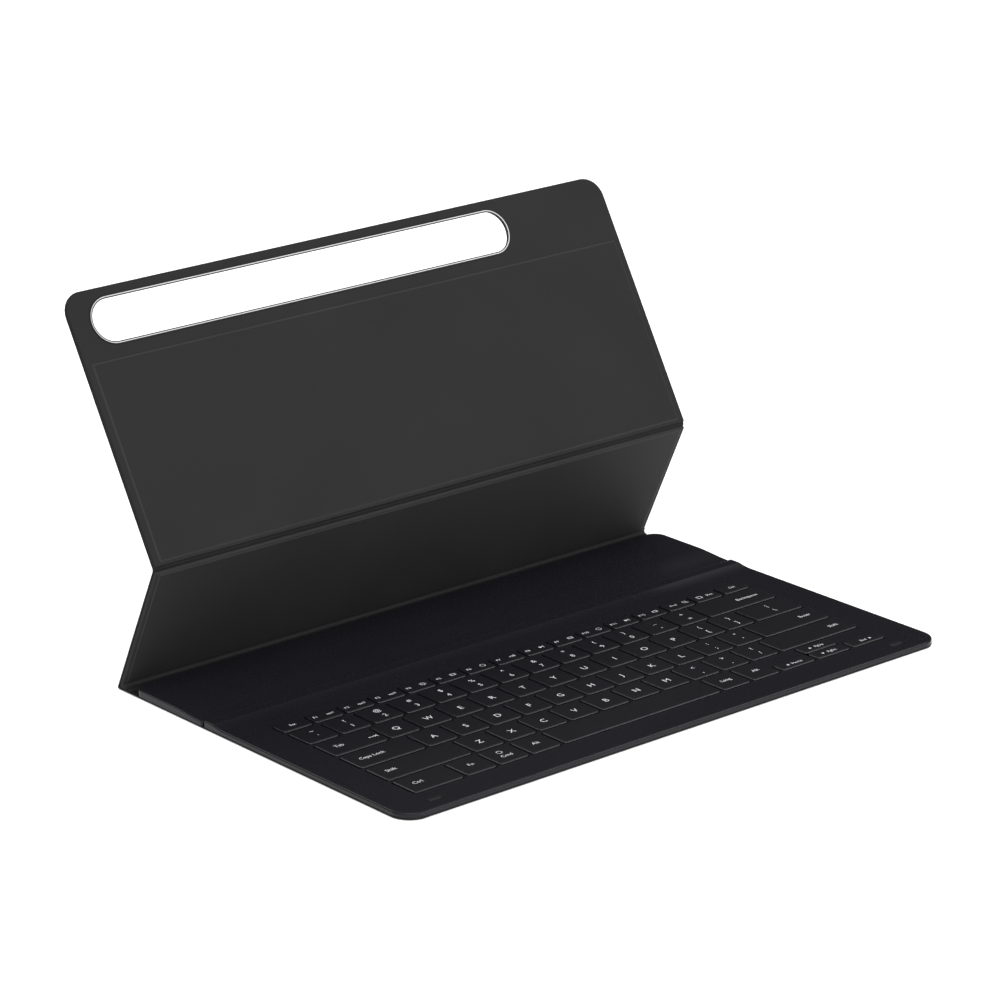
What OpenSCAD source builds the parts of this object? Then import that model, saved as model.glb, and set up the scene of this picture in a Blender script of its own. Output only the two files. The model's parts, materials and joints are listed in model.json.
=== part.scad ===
// Folding keyboard cover for a large tablet, standing open.
// Origin: middle of the deck's underside, on the surface it stands on. X runs right and Y to the back.
// Four soft creases join the deck, the rear plate, the spine, the stand panel and the back panel.

/* [Case] */
// Width of the cover from side to side
case_w = 328; // [320:1:340]
// Radius of the deck's front corners and the back panel's top corners
corner_r = 11; // [8:0.5:13]
// Thickness of the soft outer skin
skin_t = 0.8; // [0.7:0.05:0.9]

/* [Deck] */
// Depth of the keyboard deck, from the front edge to the groove
deck_d = 147; // [145:0.5:148]
// Height of the deck's top surface
deck_h = 3.2; // [3.1:0.05:3.4]
// Height of the lip in front of the groove
lip_h = 4.2; // [3.8:0.05:4.4]
// Width of the groove between the deck and the rear plate
groove_w = 1.2; // [1:0.1:2]

/* [Rear plate and spine] */
// Depth of the rear plate
rear_d = 55; // [50:0.1:56]
// Height of the rear plate
rear_h = 4.2; // [4:0.05:4.6]
// Height of the rear plate's front edge
rear_front_h = 3.1; // [2.6:0.05:3.3]
// Depth of the slope from that edge up to the rear plate's top
slope_d = 22; // [20:0.5:24]
// Distance from the spine crease to the base crease
spine_d = 10.6; // [10:0.1:12]

/* [Stand and back panels] */
// Distance from the base crease to the top crease
stand_l = 74.4; // [70:0.1:78]
// Distance from the top crease to the back panel's top edge
back_l = 133.9; // [130:0.1:138]
// Angle of the stand panel, from lying flat
stand_angle = 116.1; // [105:0.1:120]
// Angle of the back panel, from lying flat
back_angle = 60; // [50:0.1:70]
// Thickness of the stand and back panels
panel_t = 2.6; // [2.4:0.05:3]
// Length of the slot in the back panel
slot_l = 250; // [240:1:255]
// Height of the slot
slot_h = 22.4; // [20:0.1:23]
// Middle of the slot, right of the panel's middle
slot_x = -27.6; // [-29:0.1:-20]
// Middle of the slot, above the top crease
slot_y = 117.3; // [116:0.1:118]

/* [Keys] */
// Distance from one key to the next, side to side
key_pitch = 18.87; // [18.8:0.01:18.9]
// Distance from one row of keys to the next
row_pitch = 18.75; // [18.6:0.01:18.8]
// Gap between two caps
key_gap = 1.5; // [1.3:0.05:1.6]
// Depth of the caps in the back row
back_row_d = 10; // [9:0.1:10.5]
// Front edge of the first row
key_front = 17.9; // [17:0.1:18.5]
// Thickness of a cap
cap_t = 0.8; // [0.7:0.05:0.9]
// Height of the cap tops above the deck
cap_proud = 0.7; // [0.6:0.05:0.8]

/* [Hidden] */
$fn = 48;

fit = 0.05;                 // clearance between pieces that butt or nest
skin_colour = "#333336";
lining_colour = "#3a3a3c";
deck_colour = "#222225";
cap_colour = "#26262a";
steel_colour = "#9a9da1";
board_colour = "#6d6f72";

crease_half = 1.1;          // half the width of the crease between rear plate and spine

// Where the creases' axes lie, as [distance behind the deck's front edge, height]
groove_axis = [deck_d + groove_w / 2, 0.3];
rear_front = deck_d + groove_w;
rear_back = rear_front + rear_d;
spine_axis = [rear_back + crease_half, skin_t / 2];
base_axis = [spine_axis[0] + spine_d, skin_t / 2];
top_axis = base_axis + stand_l * [cos(stand_angle), sin(stand_angle)];

// Layers of a stand or back panel, measured from its crease's axis
panel_out = -skin_t / 2;
panel_in = panel_out + panel_t;
lining_t = 0.6;
board_z = skin_t / 2;
board_t = panel_in - lining_t - board_z;
panel_rim = 3;              // width of the solid rim around a board
spine_gap = 1.4;            // crease leg on the spine side of the base crease
base_gap = 2.6;             // crease leg on the stand panel's side
top_gap = 1.2;              // crease legs at the top crease
board_top = 99;             // the back board ends here, below the slot
slot_rim_w = 0.8;

// Deck layers
plate_z = skin_t + 0.1;
plate_t = 0.5;
sheet_z = plate_z + plate_t;
sheet_t = 0.2;
sheet_top = sheet_z + sheet_t;
ramp_front = 130;
ramp_back = 140.5;
lip_round = 0.8;
cap_r = 1.8;
cap_top = deck_h + cap_proud;
cap_z = cap_top - cap_t;
well_gap = 0.35;

// The six rows, front to back, as key widths in pitches. Every row adds up to block_units.
block_units = 15.4;
bottom_row = [1.58, 1, 1, 1, 5.16, 1, 1, 1.22, 1.22, 1.22];
lower_row = [2.65, for (i = [1:10]) 1, 2.75];
home_row = [2.05, for (i = [1:11]) 1, 2.35];
upper_row = [1.7, for (i = [1:12]) 1, 1.7];
number_row = [for (i = [1:13]) 1, 2.4];
back_row = [for (i = [1:16]) block_units / 16];
rows = [bottom_row, lower_row, home_row, upper_row, number_row, back_row];
block_w = block_units * key_pitch - key_gap;
block_left = -block_w / 2;
arrow_first = 7;            // the bottom row's last three places hold the arrow keys
arrow_gap = 0.7;
arrow_d = (row_pitch - key_gap - arrow_gap) / 2;

// Nearest 0.02 mm, so that half a key's width is a whole hundredth
function near(x) = round(x * 50) / 50;

// A key is [left, front, width, depth]
function before(row, i) = i == 0 ? 0 : row[i - 1] + before(row, i - 1);
function row_front(r) = key_front + r * row_pitch;
function key(r, i) = [
    near(block_left + key_pitch * before(rows[r], i)),
    row_front(r),
    near(key_pitch * rows[r][i] - key_gap),
    r == 5 ? back_row_d : row_pitch - key_gap
];
function keys(r, first, last) = [for (i = [first:last]) key(r, i)];
function arrow(i, step) = [
    key(0, i)[0],
    key_front + step * (arrow_d + arrow_gap),
    key(0, i)[2],
    arrow_d
];
function middle(k) = [k[0] + k[2] / 2, k[1] + k[3] / 2];

arrow_left = arrow(arrow_first, 0);
arrow_down = arrow(arrow_first + 1, 0);
arrow_up = arrow(arrow_first + 1, 1);
arrow_right = arrow(arrow_first + 2, 0);
plain_keys = [
    each keys(0, 0, arrow_first - 1), arrow_left, arrow_right,
    each keys(1, 0, 11), each keys(2, 0, 12), each keys(3, 0, 13), each keys(4, 0, 13),
    each keys(5, 0, 15)
];
all_keys = [each plain_keys, arrow_down, arrow_up];
wide_keys = [key(0, 4), key(1, 0), key(1, 11), key(2, 0), key(2, 12), key(4, 13)];

// ---- shared shapes ----

// Rectangle from y = 0, centred on X, with round front and rear corners
module rounded(w, d, front_r, rear_r) {
    translate([-w / 2, front_r]) square([w, d - front_r - rear_r]);
    if (front_r > 0) {
        translate([-w / 2 + front_r, 0]) square([w - 2 * front_r, front_r]);
        for (side = [-1, 1]) translate([side * (w / 2 - front_r), front_r]) circle(front_r);
    }
    if (rear_r > 0) {
        translate([-w / 2 + rear_r, d - rear_r]) square([w - 2 * rear_r, rear_r]);
        for (side = [-1, 1]) translate([side * (w / 2 - rear_r), d - rear_r]) circle(rear_r);
    }
}

// Flat plate of that outline, from one height to another
module plate(w, d, z, t, front_r = 0, rear_r = 0) {
    translate([0, 0, z]) linear_extrude(t) rounded(w, d, front_r, rear_r);
}

// Block given by its middle in X, its front, its underside and its size
module block(x, y, z, size) {
    translate([x - size[0] / 2, y, z]) cube(size);
}

// A side-view outline of [depth, height] points, drawn across the case
module across(w) {
    translate([-w / 2, 0, 0]) rotate([90, 0, 90]) linear_extrude(w) children();
}

// What lies flat is drawn with y = 0 at the deck's front edge, then moved to the origin
module from_front() {
    translate([0, -deck_d / 2, 0]) children();
}

module at_stand() {
    from_front() translate([0, base_axis[0], base_axis[1]]) rotate([stand_angle, 0, 0]) children();
}

module at_back() {
    from_front() translate([0, top_axis[0], top_axis[1]]) rotate([back_angle, 0, 0]) children();
}

// Outline with round ends, larger than the slot by extra all round
module slot_outline(extra) {
    r = slot_h / 2 + extra;
    run = slot_l - slot_h;
    translate([slot_x - run / 2, slot_y - r]) square([run, 2 * r]);
    for (side = [-1, 1]) translate([slot_x + side * run / 2, slot_y]) circle(r);
}

module slot_cut(extra) {
    translate([0, 0, panel_out - 1]) linear_extrude(panel_t + 2) slot_outline(extra);
}

// Points on an arc around the origin
function arc(r, from, to) = [
    for (i = [0:6]) let (a = from + (to - from) * i / 6) r * [cos(a), sin(a)]
];

// Side view of a skin strip bent by angle at the origin, with a leg on each side of the bend
module bent_strip(angle, leg_a, leg_b) {
    half = skin_t / 2;
    dir = [cos(angle), sin(angle)];
    side = [-sin(angle), cos(angle)];
    pinch = -half * tan(abs(angle) / 2);
    up = angle > 0 ? 1 : -1;
    round_side = arc(half, -90 * up, angle - 90 * up);
    polygon([
        [-leg_a, -half * up],
        each round_side,
        dir * leg_b - side * half * up,
        dir * leg_b + side * half * up,
        [pinch, half * up],
        [-leg_a, half * up]
    ]);
}

// ---- keyboard deck ----

module deck_base_skin() {
    color(skin_colour) from_front() plate(case_w, deck_d, 0, plate_z, corner_r, 0);
}

plate_front = 5;
plate_back = 129;
plate_side = 4;
plate_r = 8;

module deck_base_plate() {
    color(steel_colour) from_front()
        translate([0, plate_front, 0])
            plate(case_w - 2 * plate_side, plate_back - plate_front, plate_z, plate_t, plate_r, 0);
}

// Opening around a cap
module well(k) {
    translate([middle(k)[0], k[1] - well_gap, 0])
        plate(k[2] + 2 * well_gap, k[3] + 2 * well_gap, 0, deck_h + 1, cap_r + well_gap, cap_r + well_gap);
}

// Every cap has its own opening, except that the up and down arrow keys share one
module key_well() {
    for (k = plain_keys) well(k);
    well([arrow_up[0], key_front, arrow_up[2], row_pitch - key_gap]);
}

// Hollow rise from the deck to the flat lip, then the lip's rounded back edge
module ramp() {
    rise = [for (i = [0:8]) let (t = i / 8) [
        ramp_front + (ramp_back - ramp_front) * t,
        deck_h + (lip_h - deck_h) * t * t
    ]];
    round_back = [for (a = [90:-15:0]) [
        deck_d - lip_round + lip_round * cos(a),
        lip_h - lip_round + lip_round * sin(a)
    ]];
    across(case_w)
        polygon([each rise, each round_back, [deck_d, deck_h - 0.5], [ramp_front, deck_h - 0.5]]);
}

board_pocket = [70, 10.6, 1.9];
board_x = 75;
board_front = 130.5;
magnet_w = 20;
magnet_d = 4;
magnet_t = 1;
magnet_front = 8;
contact_w = 18;
contact_d = 4;
contact_h = 2.6;
bumper_x = 141.5;
bumper_y = 8.6;
bumper_w = 8;
bumper_d = 3;
bumper_sink = 0.4;
bumper_proud = 0.5;

module deck_frame() {
    color(deck_colour) from_front() difference() {
        union() {
            plate(case_w, deck_d, plate_z, deck_h - plate_z, corner_r, 0);
            ramp();
        }
        // underside pocket for the plate and the switch sheet
        translate([0, plate_front - fit, 0])
            plate(case_w - 2 * plate_side + 2 * fit, plate_back - plate_front + 2 * fit,
                  plate_z - 1, sheet_top - plate_z + 1, plate_r, 0);
        key_well();
        // pocket for the control board
        block(board_x, board_front, plate_z - 1,
              [board_pocket[0], board_pocket[1], board_pocket[2] + 1]);
        // pockets for the magnets, the contacts' window and the bumpers' seats
        for (side = [-1, 1])
            block(side * case_w / 3, magnet_front - fit, sheet_top - 0.1,
                  [magnet_w + 2 * fit, magnet_d + 2 * fit, magnet_t + 0.1 + fit]);
        block(0, deck_d - contact_d - fit, plate_z - 1,
              [contact_w + 2 * fit, contact_d + 1, contact_h + 1 + fit]);
        for (side = [-1, 1])
            translate([side * bumper_x, bumper_y, deck_h - bumper_sink])
                linear_extrude(bumper_sink + 1) pill(bumper_w + 2 * fit, bumper_d + 2 * fit);
    }
}

// Outline with round ends, centred
module pill(w, d) {
    square([w - d, d], center = true);
    for (side = [-1, 1]) translate([side * (w - d) / 2, 0]) circle(d / 2);
}

module corner_bumpers() {
    color("#2e2e31") from_front()
        for (side = [-1, 1])
            translate([side * bumper_x, bumper_y, deck_h - bumper_sink])
                linear_extrude(bumper_sink + bumper_proud) pill(bumper_w, bumper_d);
}

module deck_magnets() {
    color(steel_colour) from_front()
        for (side = [-1, 1])
            block(side * case_w / 3, magnet_front, sheet_top, [magnet_w, magnet_d, magnet_t]);
}

// Switch sheet with the flat tail that reaches the board
module key_membrane() {
    tail_w = 14;
    color("#c9ccc4") from_front() {
        block(0, key_front - 4, sheet_z,
              [block_w + 6, row_front(5) + back_row_d - key_front + 7, sheet_t]);
        block(board_x, row_front(5) + back_row_d, sheet_z,
              [tail_w, board_front + 1 - row_front(5) - back_row_d, sheet_t]);
    }
}

module control_board() {
    board = [64, 8, 0.8];
    board_y = board_front + 1.2;
    color("#1f4d33") from_front() block(board_x, board_y, plate_z, board);
    color("#101012") from_front() {
        block(board_x - 18, board_y + 1.5, plate_z + board[2], [7, 5, 0.8]);
        block(board_x + 6, board_y + 2, plate_z + board[2], [4, 4, 0.7]);
        for (i = [0:3]) block(board_x + 14 + 3 * i, board_y + 3, plate_z + board[2], [1.2, 2, 0.5]);
    }
}

pin_r = 0.5;
pin_bore_r = pin_r + fit;
pin_gap = 4;
pin_z = 2.3;
pin_travel = 0.6;
pin_l = 3.2;

module contact_block() {
    color("#141416") from_front() difference() {
        block(0, deck_d - contact_d, plate_z, [contact_w, contact_d - fit, contact_h]);
        for (i = [-1:1])
            translate([i * pin_gap, deck_d - pin_l, pin_z])
                rotate([-90, 0, 0]) cylinder(r = pin_bore_r, h = pin_l + 1);
    }
}

module contact_pins() {
    color("#c9a64a") from_front()
        for (i = [-1:1])
            translate([i * pin_gap, deck_d - pin_l + pin_travel + 0.1, pin_z])
                rotate([-90, 0, 0]) cylinder(r = pin_r, h = pin_l);
}

// ---- what is under each key ----

link_bar = 0.7;
link_t = 0.45;
link_z = (sheet_top + cap_z) / 2;
link_rise = 0.25;
function link_size(k) = [min(12, k[2] - 3), min(9, k[3] - 2.4)];

// Flat rectangular ring centred on a key, with its back edge raised or lowered by rise
module link_ring(k, shrink, rise) {
    size = link_size(k) - [2 * shrink, 2 * shrink];
    translate([middle(k)[0], middle(k)[1], link_z])
        rotate([asin(2 * rise / size[1]), 0, 0])
            linear_extrude(link_t, center = true) difference() {
                square(size, center = true);
                square(size - [2 * link_bar, 2 * link_bar], center = true);
            }
}

module scissor_outer_links() {
    color("#d8d8d4") from_front() for (k = all_keys) link_ring(k, 0, link_rise);
}

module scissor_inner_links() {
    color("#c8c8c4") from_front() for (k = all_keys) link_ring(k, link_bar + 0.25, -link_rise);
}

module rubber_domes() {
    color("#8d8f92") from_front()
        for (k = all_keys) {
            r = min(2.2, link_size(k)[1] / 2 - 2 * link_bar - 0.4);
            translate([middle(k)[0], middle(k)[1], sheet_top])
                cylinder(r1 = r, r2 = 0.6 * r, h = cap_z - sheet_top - fit);
        }
}

// Bent wire that keeps a wide cap level: a long bar with two short arms
module stabilizer_wires() {
    wire_r = 0.25;
    arm = 5;
    color(steel_colour) from_front()
        for (k = wide_keys) {
            half = k[2] / 2 - 4;
            front = k[1] + 2.4;
            translate([middle(k)[0], front, sheet_top + wire_r + 0.02]) {
                translate([-half, 0, 0]) rotate([0, 90, 0]) cylinder(r = wire_r, h = 2 * half);
                for (side = [-1, 1]) translate([side * half, 0, 0]) {
                    sphere(wire_r);
                    rotate([-90, 0, 0]) cylinder(r = wire_r, h = arm);
                }
            }
        }
}

// ---- keys ----

module keycaps(list) {
    color(cap_colour) from_front()
        for (k = list)
            translate([middle(k)[0], k[1], 0]) plate(k[2], k[3], cap_z, cap_t, cap_r, cap_r);
}

module key_esc() { keycaps([key(5, 0)]); }
module function_keys() { keycaps(keys(5, 1, 12)); }
module key_search() { keycaps([key(5, 13)]); }
module key_capture() { keycaps([key(5, 14)]); }
module key_delete() { keycaps([key(5, 15)]); }
module key_backquote() { keycaps([key(4, 0)]); }
module number_keys() { keycaps(keys(4, 1, 12)); }
module key_backspace() { keycaps([key(4, 13)]); }
module key_tab() { keycaps([key(3, 0)]); }
module upper_letter_keys() { keycaps(keys(3, 1, 12)); }
module key_backslash() { keycaps([key(3, 13)]); }
module key_caps_lock() { keycaps([key(2, 0)]); }
module home_letter_keys() { keycaps(keys(2, 1, 11)); }
module key_enter() { keycaps([key(2, 12)]); }
module key_shift_left() { keycaps([key(1, 0)]); }
module lower_letter_keys() { keycaps(keys(1, 1, 10)); }
module key_shift_right() { keycaps([key(1, 11)]); }
module key_control() { keycaps([key(0, 0)]); }
module key_function() { keycaps([key(0, 1)]); }
module key_command() { keycaps([key(0, 2)]); }
module key_alt_left() { keycaps([key(0, 3)]); }
module key_space() { keycaps([key(0, 4)]); }
module key_language() { keycaps([key(0, 5)]); }
module key_alt_right() { keycaps([key(0, 6)]); }
module key_arrow_left() { keycaps([arrow_left]); }
module key_arrow_up() { keycaps([arrow_up]); }
module key_arrow_down() { keycaps([arrow_down]); }
module key_arrow_right() { keycaps([arrow_right]); }

// ---- rear plate ----

rear_rim = 3;
rear_shell = 1;
rear_magnet = [42, 7, 1.6];
rear_magnet_xs = [-110, -40, 40, 110];
rear_magnet_front = 2;      // from the front of the board
cover_front = rear_front + 0.2;
cover_back = rear_back - 0.2;
pocket_front = cover_front + 15;
pocket_back = cover_back - rear_rim;
rear_board_t = rear_h - skin_t - rear_shell;

module rear_plate_skin() {
    color(skin_colour) from_front() translate([0, rear_front, 0]) plate(case_w, rear_d, 0, skin_t);
}

// Moulded cover, open underneath, with a slope at the front and round rear corners
module rear_plate_cover() {
    flat_front = cover_front + slope_d;
    slope = [for (i = [0:10]) [
        cover_front + slope_d * i / 10,
        rear_front_h + (rear_h - rear_front_h) * (1 - cos(18 * i)) / 2
    ]];
    color(deck_colour) from_front() difference() {
        union() {
            across(case_w) polygon([
                [cover_front, skin_t], each slope, [flat_front + 1, rear_h], [flat_front + 1, skin_t]
            ]);
            translate([0, flat_front, 0])
                plate(case_w, cover_back - flat_front, skin_t, rear_h - skin_t, 0, 7);
        }
        translate([0, pocket_front, 0])
            plate(case_w - 2 * rear_rim, pocket_back - pocket_front, skin_t - 1, rear_board_t + 1, 2, 4);
    }
}

module rear_plate_board() {
    color(board_colour) from_front() translate([0, pocket_front + fit, 0]) difference() {
        plate(case_w - 2 * rear_rim - 2 * fit, pocket_back - pocket_front - 2 * fit,
              skin_t, rear_board_t, 2, 4);
        for (x = rear_magnet_xs)
            block(x, rear_magnet_front - fit, rear_h - rear_shell - rear_magnet[2] - fit,
                  [rear_magnet[0] + 2 * fit, rear_magnet[1] + 2 * fit, rear_magnet[2] + 1]);
    }
}

module rear_plate_magnets() {
    color(steel_colour) from_front() translate([0, pocket_front + fit, 0])
        for (x = rear_magnet_xs)
            block(x, rear_magnet_front, rear_h - rear_shell - rear_magnet[2], rear_magnet);
}

// ---- spine ----

module spine_skin() {
    spine_front = spine_axis[0] + crease_half;
    color(skin_colour) from_front()
        translate([0, spine_front, 0])
            plate(case_w, base_axis[0] - spine_gap - spine_front, 0, skin_t);
}

// Stiffening strip on the spine skin, set in a little from its edges
module spine_strip() {
    strip_t = 0.6;
    strip_front = spine_axis[0] + crease_half + 0.6;
    strip_back = base_axis[0] - spine_gap - 0.9;
    color(lining_colour) from_front()
        translate([0, strip_front, 0])
            plate(case_w - 8, strip_back - strip_front, skin_t, strip_t, 1, 1);
}

// ---- stand panel, drawn from the base crease's axis ----

stand_start = base_gap + fit;
stand_end = stand_l - top_gap - fit;

module stand_outer_skin() {
    color(skin_colour) at_stand() difference() {
        translate([0, stand_start, 0])
            plate(case_w, stand_end - stand_start, panel_out, panel_t - lining_t);
        translate([0, stand_start + panel_rim, 0])
            plate(case_w - 2 * panel_rim, stand_end - stand_start - 2 * panel_rim,
                  board_z, panel_t, 1, 1);
    }
}

module stand_board() {
    color(board_colour) at_stand()
        translate([0, stand_start + panel_rim + fit, 0])
            plate(case_w - 2 * panel_rim - 2 * fit, stand_end - stand_start - 2 * panel_rim - 2 * fit,
                  board_z, board_t, 1, 1);
}

module stand_lining() {
    color(lining_colour) at_stand()
        translate([0, stand_start, 0])
            plate(case_w, stand_end - stand_start, panel_in - lining_t, lining_t);
}

// ---- back panel, drawn from the top crease's axis ----

back_start = top_gap + fit;
back_d = back_l - back_start;
back_magnet = [40, 8];
back_magnet_xs = [-110, 0, 110];
back_magnet_ys = [12, 82];

module back_outline(z, t, inset) {
    translate([0, back_start + inset, 0])
        plate(case_w - 2 * inset, back_d - 2 * inset, z, t, 0, corner_r - inset);
}

module back_outer_skin() {
    color(skin_colour) at_back() difference() {
        back_outline(panel_out, panel_t - lining_t, 0);
        difference() {
            back_outline(board_z, panel_t, panel_rim);
            slot_cut(panel_rim);
        }
        slot_cut(slot_rim_w);
    }
}

module back_board() {
    board_low = back_start + panel_rim + fit;
    color(board_colour) at_back() difference() {
        translate([0, board_low, 0])
            plate(case_w - 2 * panel_rim - 2 * fit, board_top - board_low, board_z, board_t);
        for (x = back_magnet_xs, y = back_magnet_ys)
            block(x, y - fit, board_z - 1,
                  [back_magnet[0] + 2 * fit, back_magnet[1] + 2 * fit, board_t + 2]);
    }
}

// Stiffener around the slot, above the back board
module slot_board() {
    color(board_colour) at_back() difference() {
        back_outline(board_z, board_t, panel_rim + fit);
        translate([-case_w / 2, 0, board_z - 1]) cube([case_w, board_top + 1.5, board_t + 2]);
        slot_cut(panel_rim + fit);
    }
}

module back_lining() {
    color(lining_colour) at_back() difference() {
        back_outline(panel_in - lining_t, lining_t, 0);
        slot_cut(slot_rim_w);
    }
}

module back_magnets() {
    color(steel_colour) at_back()
        for (x = back_magnet_xs, y = back_magnet_ys)
            block(x, y, board_z, [back_magnet[0], back_magnet[1], board_t]);
}

module slot_rim() {
    color("#4a4a4d") at_back()
        translate([0, 0, panel_out]) linear_extrude(panel_t) difference() {
            slot_outline(slot_rim_w - fit / 5);
            slot_outline(0);
        }
}

// ---- creases ----

module groove_crease() {
    color(skin_colour) from_front()
        block(0, deck_d + fit, 0, [case_w, groove_w - 2 * fit, 2 * groove_axis[1]]);
}

module rear_crease() {
    color(skin_colour) from_front()
        block(0, rear_back + fit, 0, [case_w, 2 * crease_half - 2 * fit, skin_t]);
}

module base_crease() {
    color(skin_colour) from_front()
        translate([0, base_axis[0], base_axis[1]])
            across(case_w) bent_strip(stand_angle, spine_gap - fit, base_gap);
}

module top_crease() {
    color(skin_colour) at_stand()
        translate([0, stand_l, 0])
            across(case_w) bent_strip(back_angle - stand_angle, top_gap, top_gap);
}

deck_base_skin();
deck_base_plate();
deck_frame();
key_membrane();
rubber_domes();
scissor_outer_links();
scissor_inner_links();
stabilizer_wires();
control_board();
contact_block();
contact_pins();
deck_magnets();
corner_bumpers();
rear_plate_skin();
rear_plate_board();
rear_plate_cover();
rear_plate_magnets();
spine_skin();
spine_strip();
stand_outer_skin();
stand_board();
stand_lining();
back_outer_skin();
back_board();
slot_board();
back_lining();
back_magnets();
slot_rim();
groove_crease();
rear_crease();
base_crease();
top_crease();
key_esc();
function_keys();
key_search();
key_capture();
key_delete();
key_backquote();
number_keys();
key_backspace();
key_tab();
upper_letter_keys();
key_backslash();
key_caps_lock();
home_letter_keys();
key_enter();
key_shift_left();
lower_letter_keys();
key_shift_right();
key_control();
key_function();
key_command();
key_alt_left();
key_space();
key_language();
key_alt_right();
key_arrow_left();
key_arrow_up();
key_arrow_down();
key_arrow_right();
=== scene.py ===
import bmesh
import bpy
import json
import math
from mathutils import Matrix, Vector
from mathutils.geometry import tessellate_polygon


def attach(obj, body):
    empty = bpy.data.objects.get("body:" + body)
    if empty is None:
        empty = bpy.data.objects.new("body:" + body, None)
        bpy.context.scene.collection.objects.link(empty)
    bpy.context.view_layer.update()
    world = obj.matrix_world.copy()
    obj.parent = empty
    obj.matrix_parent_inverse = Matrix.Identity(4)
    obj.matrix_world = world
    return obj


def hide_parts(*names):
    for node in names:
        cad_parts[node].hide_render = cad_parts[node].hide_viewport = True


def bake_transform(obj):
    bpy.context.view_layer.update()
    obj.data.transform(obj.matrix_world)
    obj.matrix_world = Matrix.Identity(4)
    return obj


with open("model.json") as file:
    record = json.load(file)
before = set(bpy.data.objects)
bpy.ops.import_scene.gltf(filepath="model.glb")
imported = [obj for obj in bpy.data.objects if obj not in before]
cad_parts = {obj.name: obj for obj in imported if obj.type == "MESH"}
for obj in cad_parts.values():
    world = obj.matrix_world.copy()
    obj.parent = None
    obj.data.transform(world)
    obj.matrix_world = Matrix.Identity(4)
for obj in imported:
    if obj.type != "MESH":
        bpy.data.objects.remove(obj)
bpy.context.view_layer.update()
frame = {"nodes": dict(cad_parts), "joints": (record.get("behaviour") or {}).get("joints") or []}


# ---------------------------------------------------------------- sizes and places

# Drawings are in millimetres. They start at the deck's front edge, or at the axis of a panel's lower crease.
MM = 0.001

CASE_W = 328.0
CORNER_R = 11.0
SKIN_T = 0.8
SKIN_MID = SKIN_T / 2
HALF_SKIN = SKIN_T / 2 - 0.01
DECK_SKIN_T = 0.9

DECK_D = 147.0
DECK_H = 3.2
LIP_H = 4.2
RAMP_FRONT = 130.0
RAMP_BACK = 140.5
LIP_CORNER_R = 0.9
DECK_EDGE_R = 0.8
DECK_LOW = 0.92
FOOT_INSET = 0.12
FOOT_RISE = 0.13

CAP_R = 1.8
WELL_GAP = 0.35
WELL_EDGE_R = 0.14

REAR_FRONT = 148.2
REAR_BACK = 203.2
REAR_MID = (REAR_FRONT + REAR_BACK) / 2
REAR_GAP = 0.2
REAR_LOW = 3.1
REAR_H = 4.2
SLOPE_D = 22.0
REAR_FRONT_R = 1.0
REAR_BACK_R = 7.0
REAR_EDGE_R = 0.6
REAR_UNDER = SKIN_T + 0.02

SPINE_Y = 204.3
BASE_Y = 214.9
SPINE_MID = (SPINE_Y + BASE_Y) / 2 - 0.2

STAND_L = 74.4
STAND_MID = STAND_L / 2
BACK_L = 133.9
PANEL_IN = 2.2
FACE_LOW = 0.38
FACE_EDGE_R = 0.8

SLOT = dict(cx=-27.6, cy=117.3, length=250.0, height=22.4)
SLOT_CUT = 0.75
ROUND_END = 24


def joint(name):
    return next(j for j in frame["joints"] if j["name"] == name)


def drawing_point(place):
    """Depth and height of a place in the frame, in the drawings' millimetres."""
    return place.y / MM + DECK_D / 2, place.z / MM


FLAT = Matrix.Translation((0, -DECK_D / 2 * MM, 0)) @ Matrix.Scale(MM, 4)
BASE = Vector(joint("stand_fold")["pos_m"])
TOP = Vector(joint("back_fold")["pos_m"])
BASE_YZ = drawing_point(BASE)
TOP_YZ = drawing_point(TOP)
STAND_ANGLE = math.atan2(TOP.z - BASE.z, TOP.y - BASE.y)
BACK_ANGLE = math.radians(60)
STAND = Matrix.Translation(BASE) @ Matrix.Rotation(STAND_ANGLE, 4, "X") @ Matrix.Scale(MM, 4)
BACK = Matrix.Translation(TOP) @ Matrix.Rotation(BACK_ANGLE, 4, "X") @ Matrix.Scale(MM, 4)


# ---------------------------------------------------------------- materials

PATCHES_PER_METRE = 18.0
ROUGH_SPREAD = 0.05
RELIEF_PER_GRAIN = 0.2


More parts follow.
